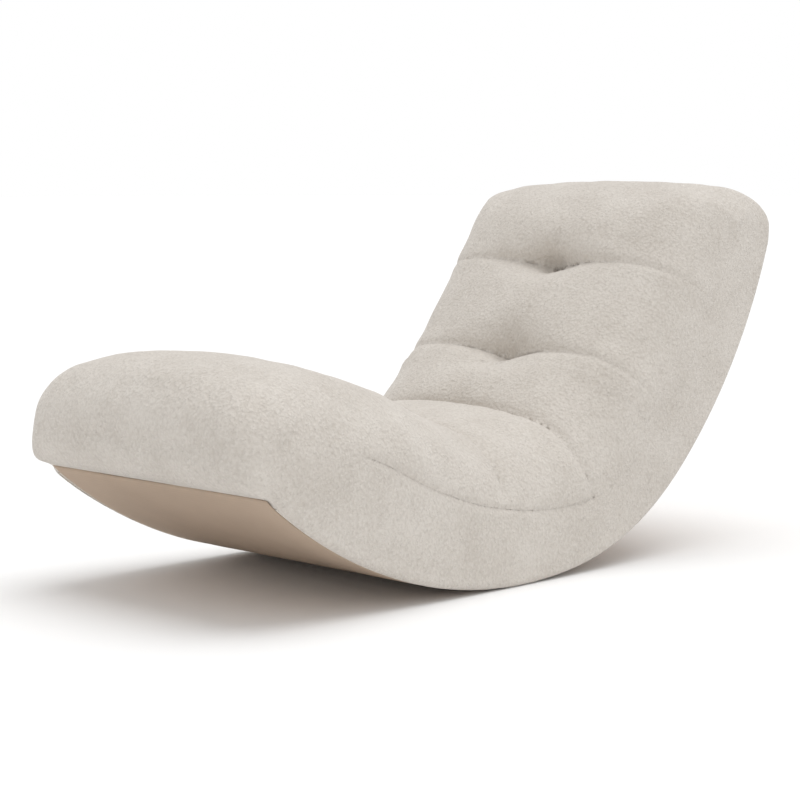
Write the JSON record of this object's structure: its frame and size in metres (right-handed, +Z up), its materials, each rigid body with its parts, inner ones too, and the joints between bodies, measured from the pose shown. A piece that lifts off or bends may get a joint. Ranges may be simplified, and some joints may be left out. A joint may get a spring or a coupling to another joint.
{
  "type": "rocking chaise lounge",
  "caption": "Long upholstered lounge chair in one swept curve, which rocks on its own rounded underside, with parted cushions and tufted seams.",
  "frame": {"origin": "middle of the strip of the underside that stands on the floor", "axes": "+X from the toe end to the head end, +Y to the sitter's left, +Z up"},
  "size_m": [1.6163, 0.72, 0.8365],
  "materials": {
    "boucle": "short warm off-white teddy boucle, matt",
    "underside_cloth": "smooth brown-beige close-woven cloth, matt",
    "welt_cloth": "warm beige rolled cloth edge, matt",
    "plywood": "raw birch plywood",
    "timber": "raw planed softwood",
    "steel": "zinc-plated steel",
    "webbing": "dark elastic webbing",
    "deck_cloth": "white spun-bonded cloth",
    "tie_cord": "waxed upholstery twine",
    "firm_foam": "firm closed-face foam",
    "soft_foam": "soft open-cell foam"
  },
  "bodies": {
    "root": {"far_rib": "plywood", "near_rib": "plywood", "centre_rib": "plywood", "rocker_board": "plywood", "toe_board": "plywood", "head_board": "plywood", "toe_rail": "timber", "calf_rail": "timber", "knee_rail": "timber", "seat_front_rail": "timber", "seat_rear_rail": "timber", "lumbar_rail": "timber", "back_rail": "timber", "shoulder_rail": "timber", "head_rail": "timber", "corner_blocks": "timber", "balance_bars": "steel", "frame_screws": "steel", "tuft_anchors": "steel", "calf_webbing": "webbing", "seat_webbing": "webbing", "lumbar_webbing": "webbing", "back_webbing": "webbing", "head_webbing": "webbing", "deck_cloth": "deck_cloth", "tuft_ties": "tie_cord", "calf_core": "firm_foam", "calf_pad": "soft_foam", "calf_cover": "boucle", "seat_core": "firm_foam", "seat_pad": "soft_foam", "seat_cover": "boucle", "lumbar_core": "firm_foam", "lumbar_pad": "soft_foam", "lumbar_cover": "boucle", "back_core": "firm_foam", "back_pad": "soft_foam", "back_cover": "boucle", "head_core": "firm_foam", "head_pad": "soft_foam", "head_cover": "boucle", "near_side_foam": "soft_foam", "far_side_foam": "soft_foam", "toe_foam": "soft_foam", "head_foam": "soft_foam", "near_band": "boucle", "far_band": "boucle", "near_welt": "welt_cloth", "far_welt": "welt_cloth", "underside_cloth": "underside_cloth"}
  },
  "joints": []
}
